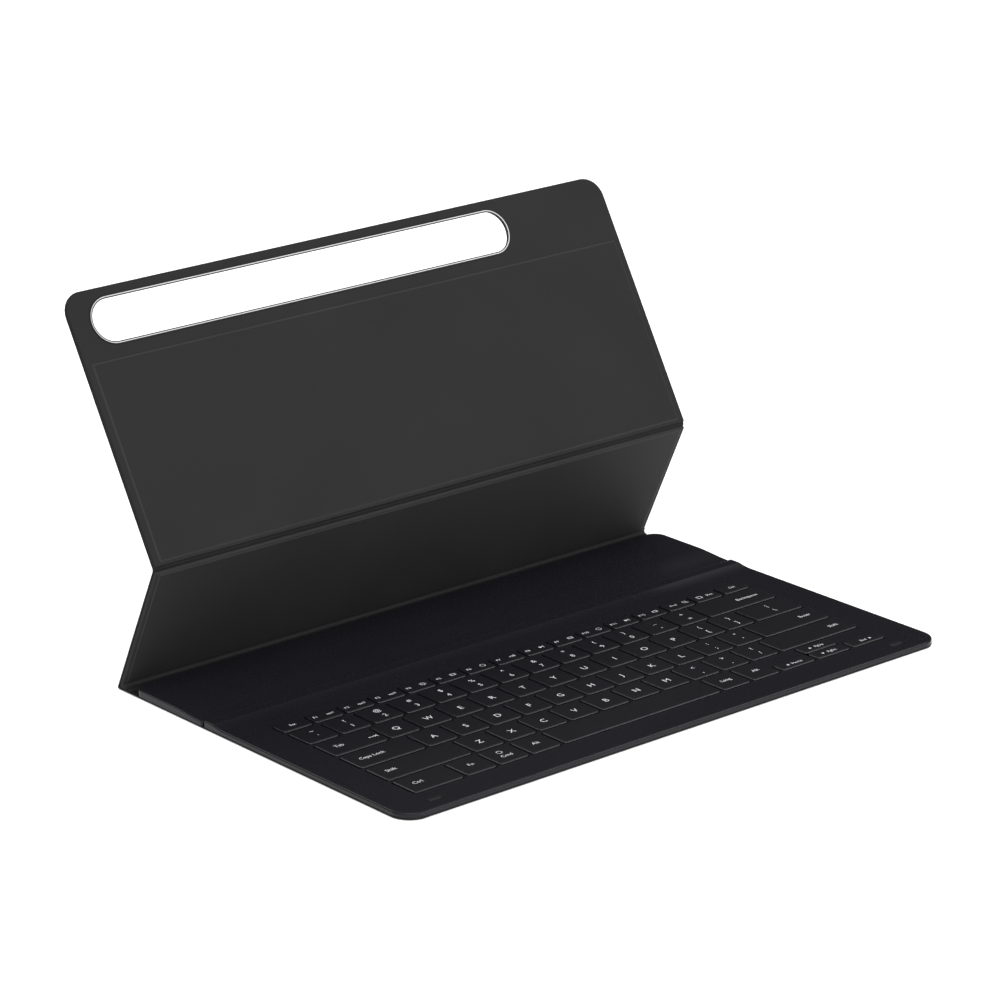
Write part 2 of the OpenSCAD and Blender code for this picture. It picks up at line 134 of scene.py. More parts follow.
def surface(name, colour, rough, grain, bump, mottle=0.12, metallic=0.0, specular=0.5, weave=False):
    """A procedural finish: mottled colour, uneven roughness and a grain of the given size in metres."""
    m = bpy.data.materials.new(name)
    m.use_nodes = True
    nt = m.node_tree
    bsdf = nt.nodes["Principled BSDF"]
    bsdf.inputs["Metallic"].default_value = metallic
    bsdf.inputs["Specular IOR Level"].default_value = specular
    where = nt.nodes.new("ShaderNodeTexCoord").outputs["Object"]

    broad = nt.nodes.new("ShaderNodeTexNoise")
    broad.inputs["Scale"].default_value = PATCHES_PER_METRE
    broad.inputs["Detail"].default_value = 6.0
    nt.links.new(where, broad.inputs["Vector"])
    tint = nt.nodes.new("ShaderNodeValToRGB")
    tint.color_ramp.elements[0].position = 0.3
    tint.color_ramp.elements[0].color = [c * (1 - mottle) for c in colour] + [1]
    tint.color_ramp.elements[1].position = 0.7
    tint.color_ramp.elements[1].color = [c * (1 + mottle) for c in colour] + [1]
    nt.links.new(broad.outputs["Fac"], tint.inputs["Fac"])
    nt.links.new(tint.outputs["Color"], bsdf.inputs["Base Color"])

    if weave:
        fine = nt.nodes.new("ShaderNodeTexNoise")
        fine.inputs["Detail"].default_value = 3.0
        fine.inputs["Distortion"].default_value = 0.8
        height = fine.outputs["Fac"]
    else:
        fine = nt.nodes.new("ShaderNodeTexVoronoi")
        fine.feature = "SMOOTH_F1"
        height = fine.outputs["Distance"]
    fine.inputs["Scale"].default_value = 1.0 / grain
    nt.links.new(where, fine.inputs["Vector"])

    spread = nt.nodes.new("ShaderNodeMapRange")
    spread.inputs["To Min"].default_value = max(0.0, rough - ROUGH_SPREAD)
    spread.inputs["To Max"].default_value = min(1.0, rough + ROUGH_SPREAD)
    nt.links.new(height, spread.inputs["Value"])
    nt.links.new(spread.outputs["Result"], bsdf.inputs["Roughness"])

    relief = nt.nodes.new("ShaderNodeBump")
    relief.inputs["Strength"].default_value = bump
    relief.inputs["Distance"].default_value = grain * RELIEF_PER_GRAIN
    nt.links.new(height, relief.inputs["Height"])
    nt.links.new(relief.outputs["Normal"], bsdf.inputs["Normal"])
    return m


def cloth(name, colour, rough, bump, specular):
    """A finish with a fine woven grain."""
    return surface(name, colour, rough, 0.0003, bump, specular=specular, weave=True)


SKIN = surface("outer_skin", (0.0085, 0.0085, 0.0092), 0.56, 0.00055, 0.35, specular=0.16)
LINING = cloth("soft_lining", (0.0098, 0.0098, 0.0100), 0.68, 0.30, 0.22)
# the pressed lines are painted lighter than the lining: a painted highlight on their slopes, strong enough to
# outweigh the slopes' shading
EMBOSS_LINE_PAINTED_HIGHLIGHT = cloth("emboss_line_painted_highlight", (0.0190, 0.0190, 0.0194), 0.62, 0.25, 0.25)
# the stand panel's copy of the lining is painted lighter than the back panel's: painted light on a face that
# looks down
STAND_LINING_PAINTED_LIGHT = cloth("stand_lining_painted_light", (0.0160, 0.0160, 0.0168), 0.75, 0.30, 0.3)
STAND_EMBOSS_PAINTED_HIGHLIGHT = cloth("stand_emboss_painted_highlight", (0.0260, 0.0260, 0.0270), 0.70, 0.25, 0.3)
DECK = surface("deck_plastic", (0.0084, 0.0082, 0.0108), 0.28, 0.00025, 0.02, mottle=0.05, specular=0.20)
CAP = surface("keycap_plastic", (0.0055, 0.0054, 0.0075), 0.33, 0.0002, 0.04, mottle=0.06, specular=0.32)
PRINT = surface("legend_print", (0.62, 0.63, 0.64), 0.55, 0.0002, 0.05, mottle=0.04)
RIM = surface("rim_plastic", (0.008, 0.008, 0.0085), 0.45, 0.0003, 0.05, specular=0.2)
# a pale strip on the black rim: a painted highlight
RIM_PAINTED_HIGHLIGHT = surface("rim_painted_highlight", (0.50, 0.50, 0.51), 0.35, 0.0003, 0.02, mottle=0.03)
RUBBER = surface("bumper_rubber", (0.007, 0.007, 0.0075), 0.40, 0.0003, 0.15, specular=0.3)
FILM = surface("switch_film", (0.004, 0.004, 0.0045), 0.45, 0.0004, 0.05)
STEEL = surface("plated_steel", (0.50, 0.51, 0.53), 0.32, 0.0004, 0.08, metallic=1.0)
ALUMINIUM = surface("plain_sheet", (0.55, 0.56, 0.57), 0.38, 0.0005, 0.08, metallic=1.0)
GOLD = surface("plated_pin", (0.78, 0.60, 0.28), 0.25, 0.0002, 0.04, metallic=1.0)
BOARD = surface("stiffener_sheet", (0.10, 0.10, 0.105), 0.70, 0.0006, 0.25)
RESIN = surface("solder_mask", (0.015, 0.075, 0.04), 0.35, 0.0005, 0.05)
DOME = surface("dome_rubber", (0.22, 0.23, 0.24), 0.55, 0.0003, 0.08)
LINK = surface("link_plastic", (0.030, 0.030, 0.030), 0.45, 0.0003, 0.05)

# the CAD nodes that stay visible
for node, material in {
    "deck_base_plate": ALUMINIUM, "key_membrane": FILM, "stabilizer_wires": STEEL,
    "control_board": RESIN, "contact_block": RIM, "contact_pins": GOLD, "deck_magnets": STEEL,
    "rear_plate_board": BOARD, "rear_plate_magnets": STEEL, "stand_board": BOARD,
    "back_board": BOARD, "slot_board": BOARD, "back_magnets": STEEL,
}.items():
    mesh = frame["nodes"][node].data
    mesh.materials.clear()
    mesh.materials.append(material)


# ---------------------------------------------------------------- mesh helpers

HARD_EDGE = 38


def smooth(obj, sharp=HARD_EDGE):
    """Outward normals, smooth faces with hard edges above the angle, and weighted shading."""
    bm = bmesh.new()
    bm.from_mesh(obj.data)
    bmesh.ops.remove_doubles(bm, verts=bm.verts, dist=1e-7)
    bmesh.ops.recalc_face_normals(bm, faces=bm.faces)
    for f in bm.faces:
        f.smooth = True
    for e in bm.edges:
        e.smooth = not (len(e.link_faces) == 2 and e.calc_face_angle(0) > math.radians(sharp))
    bm.to_mesh(obj.data)
    bm.free()
    shading = obj.modifiers.new("shading", "WEIGHTED_NORMAL")
    shading.keep_sharp = True


class Build:
    """Collects points and faces in a drawing's millimetres and makes one object of them."""

    def __init__(self):
        self.points, self.faces = [], []

    def loop(self, points):
        start = len(self.points)
        self.points += [tuple(p) for p in points]
        return list(range(start, start + len(points)))

    def bridge(self, a, b):
        n = len(a)
        for i in range(n):
            j = (i + 1) % n
            self.faces.append((a[i], a[j], b[j], b[i]))

    def loft(self, loops):
        rings = [self.loop(p) for p in loops]
        for a, b in zip(rings, rings[1:]):
            self.bridge(a, b)
        return rings

    def cap(self, ring, holes=(), flip=False):
        """Fills a loop, leaving the holes open."""
        if not holes:
            self.faces.append(tuple(reversed(ring)) if flip else tuple(ring))
            return
        loops = [ring, *holes]
        flat = [i for r in loops for i in r]
        level = [[Vector((*self.points[i][:2], 0)) for i in r] for r in loops]
        for tri in tessellate_polygon(level):
            a, b, c = (flat[i] for i in tri)
            p, q, r = (Vector(self.points[i][:2]) for i in (a, b, c))
            up = (q - p).cross(r - p) > 0
            self.faces.append((a, b, c) if up != flip else (a, c, b))

    def make(self, name, material, place=FLAT, sharp=HARD_EDGE):
        mesh = bpy.data.meshes.new(name)
        mesh.from_pydata(self.points, [], self.faces)
        mesh.transform(place)
        mesh.validate()
        mesh.update()
        mesh.materials.append(material)
        obj = bpy.data.objects.new(name, mesh)
        bpy.context.scene.collection.objects.link(obj)
        smooth(obj, sharp)
        return obj


def stack(name, material, ring_at, profile, place=FLAT, sharp=HARD_EDGE):
    """A closed solid of rings. ring_at gives the outline for an inset, profile the insets and heights."""
    b = Build()
    rings = b.loft([[(x, y, z) for x, y in ring_at(inset)] for inset, z in profile])
    b.cap(rings[0], flip=True)
    b.cap(rings[-1])
    return b.make(name, material, place, sharp)


def cut(obj, cutter):
    """Takes the cutter's shape out of the object."""
    change = obj.modifiers.new("cut", "BOOLEAN")
    change.operation = "DIFFERENCE"
    change.object = cutter
    change.solver = "EXACT"
    for other in obj.modifiers:
        other.show_viewport = other == change
    bpy.context.view_layer.update()
    made = bpy.data.meshes.new_from_object(obj.evaluated_get(bpy.context.evaluated_depsgraph_get()))
    obj.modifiers.clear()
    obj.data = made
    bpy.data.objects.remove(cutter)
    smooth(obj)


def paint_between(obj, place, material, low, high):
    """Gives the faces whose middle is between two heights of the drawing a second material."""
    obj.data.materials.append(material)
    drawing = place.inverted()
    for f in obj.data.polygons:
        if low < (drawing @ f.center).z < high:
            f.material_index = 1


def line(a, b, n):
    return [a + (b - a) * i / n for i in range(n + 1)]


def outline(w, y0, y1, front_r, rear_r, inset=0.0, seg=8, sides=(), cx=0.0):
    """Points of a rounded rectangle, anticlockwise from the front left. sides are extra depths on the
    long sides."""
    points = []
    rf, rr = max(front_r - inset, 0.02), max(rear_r - inset, 0.02)
    half, low, high = w / 2 - inset, y0 + inset, y1 - inset

    def arc(x, y, r, start):
        for i in range(seg + 1):
            a = math.radians(start + 90 * i / seg)
            points.append((x + r * math.cos(a) + cx, y + r * math.sin(a)))

    arc(-half + rf, low + rf, rf, 180)
    arc(half - rf, low + rf, rf, 270)
    points += [(cx + half, y) for y in sides]
    arc(half - rr, high - rr, rr, 0)
    arc(-half + rr, high - rr, rr, 90)
    points += [(cx - half, y) for y in reversed(sides)]
    return points


def stadium(cx, cy, length, height, grow=0.0, seg=20):
    """Points of an outline with round ends, anticlockwise."""
    r, run = height / 2 + grow, length - height
    points = []
    for side, start in ((1, -90), (-1, 90)):
        for i in range(seg + 1):
            a = math.radians(start + 180 * i / seg)
            points.append((cx + side * run / 2 + r * math.cos(a), cy + r * math.sin(a)))
    return points


def edge_round(r, steps=5):
    """(inset, drop) pairs of a rounded top edge, from the wall to the top."""
    angles = [math.radians(a) for a in line(0, 90, steps)]
    return [(r * (1 - math.cos(a)), r * (1 - math.sin(a))) for a in angles]


def ride(obj, body, slot, *nodes):
    """The piece moves with one body."""
    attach(obj, body)
    if nodes:
        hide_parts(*nodes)


def bend(obj, bodies, ends, slot, *nodes):
    """Bakes the piece's placement into its points and hides the nodes it stands for."""
    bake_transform(obj)
    if nodes:
        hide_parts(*nodes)


# ---------------------------------------------------------------- what the CAD nodes hold

def solids(node):
    """The separate solids of a node, left to right. Each is its box (x0, y0, x1, y1, z0, z1) and its faces
    as lists of points."""
    mesh = frame["nodes"][node].data
    parent = {}

    def find(a):
        while parent[a] != a:
            parent[a] = parent[parent[a]]
            a = parent[a]
        return a

    spot = [tuple(round(c / MM, 3) for c in v.co) for v in mesh.vertices]
    for p in spot:
        parent.setdefault(p, p)
    for f in mesh.polygons:
        first = find(spot[f.vertices[0]])
        for i in f.vertices[1:]:
            parent[find(spot[i])] = first
    groups = {}
    for f in mesh.polygons:
        points = [(spot[i][0], spot[i][1] + DECK_D / 2, spot[i][2]) for i in f.vertices]
        groups.setdefault(find(spot[f.vertices[0]]), []).append(points)
    found = []
    for faces in groups.values():
        low = [min(p[i] for points in faces for p in points) for i in range(3)]
        high = [max(p[i] for points in faces for p in points) for i in range(3)]
        found.append(((low[0], low[1], high[0], high[1], low[2], high[2]), faces))
    return sorted(found, key=lambda solid: solid[0])


def boxes_of(node):
    return [box for box, faces in solids(node)]


def centre(box, dx=0.0, dy=0.0):
    return (box[0] + box[2]) / 2 + dx, (box[1] + box[3]) / 2 + dy


def holds_keys(node):
    return node.endswith("_keys") or node.startswith("key_") and node != "key_membrane"


CAPS = {node: boxes_of(node) for node in frame["nodes"] if holds_keys(node)}


# ---------------------------------------------------------------- deck and its bumpers

def deck_height(y):
    """Height of the deck's top: flat, then a hollow ramp up to the flat lip."""
    t = min(1.0, max(0.0, (y - RAMP_FRONT) / (RAMP_BACK - RAMP_FRONT)))
    return DECK_H + (LIP_H - DECK_H) * t ** 2.5


def moulding(y0, y1, front_r, rear_r, height, stations, edge_r, low, seg):
    """Walls, rounded edge and rear part of a moulding whose top follows height(y). The front and the
    underside are left open: their outlines come back with the drawing."""
    b = Build()

    def ring(inset, drop=None, z=None):
        points = outline(CASE_W, y0, y1, front_r, rear_r, inset, seg, stations)
        return [(x, y, z if z is not None else height(y) - drop) for x, y in points]

    foot = [ring(FOOT_INSET, z=low), ring(0.0, z=low + FOOT_RISE)]
    rings = b.loft(foot + [ring(inset, drop=drop) for inset, drop in edge_round(edge_r, 6)])
    top, n, first = rings[-1], len(stations), 2 * (seg + 1)
    right = top[first:first + n]
    left = top[:-n - 1:-1]
    for i in range(n - 1):
        b.faces.append((left[i], right[i], right[i + 1], left[i + 1]))
    b.faces.append((left[-1], right[-1], *top[first + n:-n]))
    return b, rings[0], [left[0], *top[:first], right[0]]


def key_openings():
    """Boxes of the openings: one for each cap, but the up and down arrows share theirs."""
    up, down = CAPS["key_arrow_up"][0], CAPS["key_arrow_down"][0]
    alone = [box for node, boxes in CAPS.items() for box in boxes if box not in (up, down)]
    return alone + [(*down[:2], *up[2:4])]


def deck():
    stations = line(RAMP_FRONT, RAMP_BACK - 0.4, 12) + [RAMP_BACK, RAMP_BACK + 0.5]
    b, under, front_part = moulding(0, DECK_D, CORNER_R, LIP_CORNER_R, deck_height, stations,
                                    DECK_EDGE_R, DECK_LOW, 10)
    holes = []
    for x0, y0, x1, y1, *_ in key_openings():
        levels = []
        for a in (90, 45, 0):
            grow = WELL_GAP + WELL_EDGE_R * (1 - math.cos(math.radians(a)))
            levels.append((grow, DECK_H - WELL_EDGE_R * (1 - math.sin(math.radians(a)))))
        levels.append((WELL_GAP, DECK_LOW))
        loops = []
        for grow, z in levels:
            edge = outline(x1 - x0, y0, y1, CAP_R, CAP_R, -grow, 5, cx=(x0 + x1) / 2)
            loops.append([(x, y, z) for x, y in edge])
        holes.append(b.loft(loops))
    b.cap(front_part, [hole[0] for hole in holes])
    b.cap(under, [hole[-1] for hole in holes], flip=True)
    ride(b.make("deck_upper_shell", DECK), "deck", "deck_plastic", "deck_frame")


def bumper(side, box):
    x0, y0, x1, y1, z0, z1 = box
    profile = [(0, z0)] + [(inset, z1 - drop) for inset, drop in edge_round(0.35, 4)] + [(0.8, z1)]

    def ring(inset):
        return stadium(*centre(box), x1 - x0, y1 - y0, -inset, 10)

    ride(stack("corner_bumper_" + side, RUBBER, ring, profile), "deck", "bumper_rubber", "corner_bumpers")


deck()
for side, box in zip(("left", "right"), boxes_of("corner_bumpers")):
    bumper(side, box)


# ---------------------------------------------------------------- keys

# inset and drop from the top: upright sides and a wide, soft edge
CAP_EDGE = [(0.0, -0.62), (0.04, -0.50), (0.13, -0.36), (0.26, -0.23), (0.42, -0.12), (0.60, -0.04),
            (0.80, 0.0)]

# the caps of the nodes that hold a row, left to right; every other key node holds one cap of its own name
ROWS = {
    "function_keys": ["f%d" % number for number in range(1, 13)],
    "number_keys": "1 2 3 4 5 6 7 8 9 0 minus equals".split(),
    "upper_letter_keys": "q w e r t y u i o p bracket_left bracket_right".split(),
    "home_letter_keys": "a s d f g h j k l semicolon quote".split(),
    "lower_letter_keys": "z x c v b n m comma period slash".split(),
}


def keycap(name, box):
    x0, y0, x1, y1, z0, z1 = box

    def ring(inset):
        return outline(x1 - x0, y0, y1, CAP_R, CAP_R, inset, 6, cx=(x0 + x1) / 2)

    profile = [(0.0, z0), *[(inset, z1 + drop) for inset, drop in CAP_EDGE]]
    return stack(name, CAP, ring, profile, sharp=60)


for node, boxes in CAPS.items():
    for name, box in zip(ROWS.get(node, [node.removeprefix("key_")]), boxes):
        ride(keycap("cap_" + name, box), node, "keycap", node)


# ---------------------------------------------------------------- legends

LETTER = 4.9
WORD = 3.3
SMALL = 2.7
TINY = 2.4
STROKE = 0.36
PRINT_LOW = 0.02
PRINT_HIGH = 0.012


class Legends(Build):
    """Flat printed marks for the caps of one node, whose tops are all at one height."""

    def __init__(self, top):
        super().__init__()
        self.top = top

    def polygon(self, points):
        low = self.loop([(x, y, self.top - PRINT_LOW) for x, y in points])
        high = self.loop([(x, y, self.top + PRINT_HIGH) for x, y in points])
        self.bridge(low, high)
        self.cap(low, flip=True)
        self.cap(high)

    def bar(self, x, y, w, h):
        corners = ((-1, -1), (1, -1), (1, 1), (-1, 1))
        self.polygon([(x + side * w / 2, y + end * h / 2) for side, end in corners])

    def box(self, x, y, w, h, t):
        for side in (1, -1):
            self.bar(x, y + side * (h - t) / 2, w, t)
        for side in (-1, 1):
            self.bar(x + side * (w - t) / 2, y, t, h - 2 * t)

    def ring(self, x, y, r, t=0.28, n=20):
        for i in range(n):
            a, c = 2 * math.pi * i / n, 2 * math.pi * (i + 1) / n
            self.polygon([(x + q * math.cos(s), y + q * math.sin(s))
                          for q, s in ((r - t, a), (r - t, c), (r, c), (r, a))])

    def text(self, words, x, y, size, align="CENTER"):
        lettering = bpy.data.curves.new("legend_source", "FONT")
        lettering.body = words
        lettering.size = size
        lettering.align_x = align
        lettering.align_y = "CENTER"
        lettering.resolution_u = 3
        lettering.extrude = (PRINT_LOW + PRINT_HIGH) / 2
        obj = bpy.data.objects.new("legend_source", lettering)
        bpy.context.scene.collection.objects.link(obj)
        bpy.context.view_layer.update()
        mesh = bpy.data.meshes.new_from_object(obj.evaluated_get(bpy.context.evaluated_depsgraph_get()))
        start, middle = len(self.points), self.top + (PRINT_HIGH - PRINT_LOW) / 2
        self.points += [(x + v.co.x, y + v.co.y, middle + v.co.z) for v in mesh.vertices]
        self.faces += [tuple(start + i for i in f.vertices) for f in mesh.polygons]
        bpy.data.objects.remove(obj)
        bpy.data.meshes.remove(mesh)


marks = {node: Legends(boxes[0][5]) for node, boxes in CAPS.items()}


def single(node, words, size=LETTER, dy=0.0):
    for box, word in zip(CAPS[node], words):
        marks[node].text(word, *centre(box, 0, dy), size)


def double(node, upper, lower, first=0):
    for box, high, low in zip(CAPS[node][first:], upper, lower):
        marks[node].text(high, *centre(box, 0.8, 2.9), 4.0)
        marks[node].text(low, *centre(box, 0.8, -3.6), 4.2)


def left_word(node, word, inset):
    box = CAPS[node][0]
    marks[node].text(word, box[0] + inset, centre(box)[1], WORD, "LEFT")


def right_word(node, word, inset=5.8):
    box = CAPS[node][0]
    marks[node].text(word, box[2] - inset, centre(box)[1], WORD, "RIGHT")


single("upper_letter_keys", "QWERTYUIOP", dy=-0.8)
single("home_letter_keys", "ASDFGHJKL", dy=-0.8)
single("lower_letter_keys", "ZXCVBNM", dy=-0.8)
double("number_keys", "!@#$%^&*()_+", "1234567890-=")
double("key_backquote", "~", "`")
double("key_backslash", "|", "\\")
double("upper_letter_keys", "{}", "[]", 10)
double("home_letter_keys", ":\"", ";'", 9)
double("lower_letter_keys", "<>?", ",./", 7)
left_word("key_caps_lock", "Caps Lock", 5.4)
left_word("key_shift_left", "Shift", 5.4)
left_word("key_control", "Ctrl", 5.6)
left_word("key_tab", "Tab", 6.0)
right_word("key_enter", "Enter")
right_word("key_backspace", "Backspace")
right_word("key_shift_right", "Shift")
single("key_function", ["Fn"], WORD)
single("key_alt_left", ["Alt"], WORD)
single("key_alt_right", ["Alt"], WORD)
single("key_language", ["Lang"], WORD)
single("key_command", ["Cmd"], WORD, -2.4)
single("key_esc", ["Esc"], SMALL)
single("key_delete", ["Del"], SMALL)


def function_mark(m, number, x, y):
    """The small picture beside a function key's number."""
    if number <= 3:
        m.text("app%d" % number, x, y, 2.3)
    elif number == 4:
        m.ring(x, y, 1.1)
        for turn in range(0, 360, 45):
            a = math.radians(turn)
            m.bar(x + 1.6 * math.cos(a), y + 1.6 * math.sin(a), 0.35, 0.35)
    elif number in (6, 10):
        m.ring(x, y, 1.5)
    elif number in (5, 9, 12):
        m.box(x, y, 3.0, 1.96, STROKE)
    elif number == 7:
        for step in range(3):
            m.bar(x - 1.2 + 1.2 * step, y, 0.7, 0.7 + 0.6 * step)
    else:
        m.polygon([(x - 1.3, y - 1.1), (x + 0.6, y), (x - 1.3, y + 1.1)])
        m.bar(x + 1.1, y, STROKE, 2.2)


for number, box in enumerate(CAPS["function_keys"], 1):
    y = centre(box)[1]
    marks["function_keys"].text("F%d" % number, box[0] + 3.3, y, SMALL)
    function_mark(marks["function_keys"], number, box[2] - 5.0, y)


def command_mark(m, box):
    m.ring(*centre(box, -0.4, 2.4), 1.5)


def search_mark(m, box):
    x, y = centre(box, 4.6)
    m.text("Find", *centre(box, -2.6), TINY)
    m.ring(x, y + 0.3, 1.1)
    m.polygon([(x + 0.6, y - 0.7), (x + 1.5, y - 1.6), (x + 1.8, y - 1.3), (x + 0.9, y - 0.4)])


def capture_mark(m, box):
    m.box(*centre(box, -3.6), 3.0, 2.54, 0.34)
    m.text("Shot", *centre(box, 2.8), TINY)


def tab_mark(m, box):
    x, y = box[2] - 4.2, centre(box)[1] - 1.6
    m.bar(x - 0.4, y, 3.6, 0.4)
    m.polygon([(x + 1.0, y - 0.9), (x + 2.2, y), (x + 1.0, y + 0.9)])
    m.bar(x + 2.5, y, STROKE, 2.2)


def arrow_mark(m, box, turn, word):
    """A small arrowhead and a word, with the head on the right for the key that points right."""
    x, y = centre(box, 3.4 if turn == 0 else -4.6, -0.6)
    a = math.radians(turn)
    head = [(0.9, 0.0), (-0.6, 0.9), (-0.6, -0.9)]
    m.polygon([(x + p * math.cos(a) - q * math.sin(a), y + p * math.sin(a) + q * math.cos(a))
               for p, q in head])
    m.text(word, *centre(box, -1.2 if turn == 0 else 1.2, -0.6), 2.6)


for name, draw, *more in (
        ("command", command_mark), ("search", search_mark), ("capture", capture_mark), ("tab", tab_mark),
        ("arrow_left", arrow_mark, 180, "Home"), ("arrow_up", arrow_mark, 90, "PgUp"),
        ("arrow_down", arrow_mark, 270, "PgDn"), ("arrow_right", arrow_mark, 0, "End")):
    node = "key_" + name
    draw(marks[node], CAPS[node][0], *more)

for node, legends in marks.items():
    if legends.points:
        ride(legends.make("legends_" + node, PRINT), node, "keycap")


# ---------------------------------------------------------------- springs under the keys

def springs(label, material, slot, *nodes):
    """The nodes' solids gathered under each key, one piece for each key."""
    found = [solid for node in nodes for solid in solids(node)]
    for key, boxes in CAPS.items():
        b = Build()
        lows, highs = [], []
        for box, faces in found:
            x, y = centre(box)
            if any(x0 < x < x1 and y0 < y < y1 for x0, y0, x1, y1, *_ in boxes):
                lows.append(box[4])
                highs.append(box[5])
                b.faces += [tuple(b.loop(points)) for points in faces]
        y = centre(boxes[0])[1]
        spring = b.make(label + "_" + key, material)
        bend(spring, ("deck", key), ((y, min(lows)), (y, max(highs))), slot, *nodes)


springs("dome", DOME, "dome_rubber", "rubber_domes")
springs("links", LINK, "link_plastic", "scissor_outer_links", "scissor_inner_links")


# ---------------------------------------------------------------- rear plate

def rear_height(y):
    """Height of the rear plate's top: a soft slope up from the groove, then flat."""
    t = min(1.0, max(0.0, (y - REAR_FRONT - REAR_GAP) / SLOPE_D))
    return REAR_LOW + (REAR_H - REAR_LOW) * (1 - math.cos(math.pi * t)) / 2


def rear_plate():
    stations = line(REAR_FRONT + 1.2, REAR_FRONT + REAR_GAP + SLOPE_D, 12)
    b, under, front_part = moulding(REAR_FRONT + REAR_GAP, REAR_BACK - REAR_GAP, REAR_FRONT_R,
                                    REAR_BACK_R, rear_height, stations, REAR_EDGE_R, REAR_UNDER, 8)
    b.cap(front_part)
    b.cap(under, flip=True)
    ride(b.make("rear_plate_shell", DECK), "rear_plate", "deck_plastic", "rear_plate_cover")


rear_plate()


# ---------------------------------------------------------------- outer skin, one sheet in four lengths

def half_width(s, start_r=0.0, end=None, end_r=0.0):
    """Half the sheet's width at a distance along it, narrower at round corners."""
    half = CASE_W / 2
    if start_r and s < start_r:
        half = CASE_W / 2 - start_r + math.sqrt(max(0.0, start_r ** 2 - (start_r - s) ** 2))
    if end_r and s > end - end_r:
        half = CASE_W / 2 - end_r + math.sqrt(max(0.0, end_r ** 2 - (end_r - (end - s)) ** 2))
    return half


def sheet(name, stations):
    """A closed sheet through stations of (point, upward direction, half width, half thickness)."""
    b = Build()
    loops = []
    for (y, z), (ny, nz), half, t in stations:
        ring = []
        r = min(t, 0.4)
        for side, start in ((1, -90), (-1, 90)):
            for i in range(7):
                a = math.radians(start + 180 * i / 6)
                u, v = side * (half - r) + r * math.cos(a), t * math.sin(a)
                ring.append((u, y + ny * v, z + nz * v))
        loops.append(ring)
    rings = b.loft(loops)
    b.cap(rings[0])
    b.cap(rings[-1], flip=True)
    return b.make(name, SKIN, sharp=50)


def flat_stations(ys, z=SKIN_MID, t=HALF_SKIN, widths=None):
    return [((y, z), (0, 1), (widths(y) if widths else CASE_W / 2), t) for y in ys]


def at_panel(angle, axis, v, z=0.0):
    """Depth and height of a point v along a panel and z above its skin's middle."""
    along, up = (math.cos(angle), math.sin(angle)), (-math.sin(angle), math.cos(angle))
    return tuple(axis[k] + v * along[k] + z * up[k] for k in (0, 1))


def panel_stations(angle, axis, distances):
    return [(at_panel(angle, axis, v), (-math.sin(angle), math.cos(angle)), CASE_W / 2, HALF_SKIN)
            for v in distances]


def bend_stations(angle_a, axis, angle_b, reach=1.2, n=10):
    """Stations round a crease: a smooth turn from one direction to the next, close to the axis."""
    a = at_panel(angle_a, axis, -reach)
    c = at_panel(angle_b, axis, reach)
    stations = []
    for i in range(n + 1):
        f = i / n
        u = 1 - f
        place = tuple(u * u * a[k] + 2 * u * f * axis[k] + f * f * c[k] for k in (0, 1))
        run, rise = (2 * u * (axis[k] - a[k]) + 2 * f * (c[k] - axis[k]) for k in (0, 1))
        slope = math.atan2(rise, run)
        stations.append((place, (-math.sin(slope), math.cos(slope)), CASE_W / 2, HALF_SKIN))
    return stations


def across(axis, angle, reach):
    """Two points a short reach before and after a crease's axis."""
    return at_panel(angle, axis, -reach), at_panel(angle, axis, reach)


def slot_cutter():
    """The hole for the slot and its rim, through the whole back panel."""
    return stack("slot_cutter", RIM, lambda inset: stadium(grow=SLOT_CUT - inset, seg=ROUND_END, **SLOT),
                 [(0, -2), (0, 4)], BACK)


def skin_deck_to_rear():
    """From the deck's front edge to the middle of the rear plate."""
    middle = DECK_SKIN_T / 2
    round_edge = [(0.0, 0.05), (0.05, 0.2), (0.15, 0.32), (0.35, 0.41), (0.6, middle)]
    front = [((y, middle), (0, 1), half_width(max(y, 0.02), CORNER_R), t) for y, t in round_edge]
    under_deck = flat_stations([1.0, 1.6, 2.5, 3.5, 5.0, 7.0, 9.0, 11.0, 60.0, 120.0, 146.6],
                               middle, middle, lambda y: half_width(y, CORNER_R))
    groove = [((146.9, 0.42), (0, 1), CASE_W / 2, 0.41)] + flat_stations(line(147.1, 148.1, 6))
    skin = sheet("skin_deck_to_rear", front + under_deck + groove + flat_stations([150.0, REAR_MID]))
    bend(skin, ("deck", "rear_plate"), ((DECK_D, 0.3), (REAR_FRONT, 0.3)), "skin",
         "deck_base_skin", "groove_crease", "rear_plate_skin")


def skin_rear_to_spine():
    """Over the crease behind the rear plate to the middle of the spine."""
    crease = flat_stations(line(203.3, 205.3, 8), t=HALF_SKIN - 0.03)
    skin = sheet("skin_rear_to_spine", flat_stations([REAR_MID, 198.0, 202.8]) + crease
                 + flat_stations([205.8, SPINE_MID]))
    bend(skin, ("rear_plate", "spine"), ((203.3, 0.4), (205.3, 0.4)), "skin", "rear_crease")


def skin_spine_to_stand():
    """Round the base crease to the middle of the stand panel."""
    skin = sheet("skin_spine_to_stand", flat_stations([SPINE_MID, 211.5, 213.2])
                 + bend_stations(0.0, BASE_YZ, STAND_ANGLE)
                 + panel_stations(STAND_ANGLE, BASE_YZ, [1.8, 3.5, 8.0, STAND_MID]))
    bend(skin, ("spine", "stand_panel"), across(BASE_YZ, STAND_ANGLE / 2, 0.9), "skin",
         "base_crease", "spine_skin")


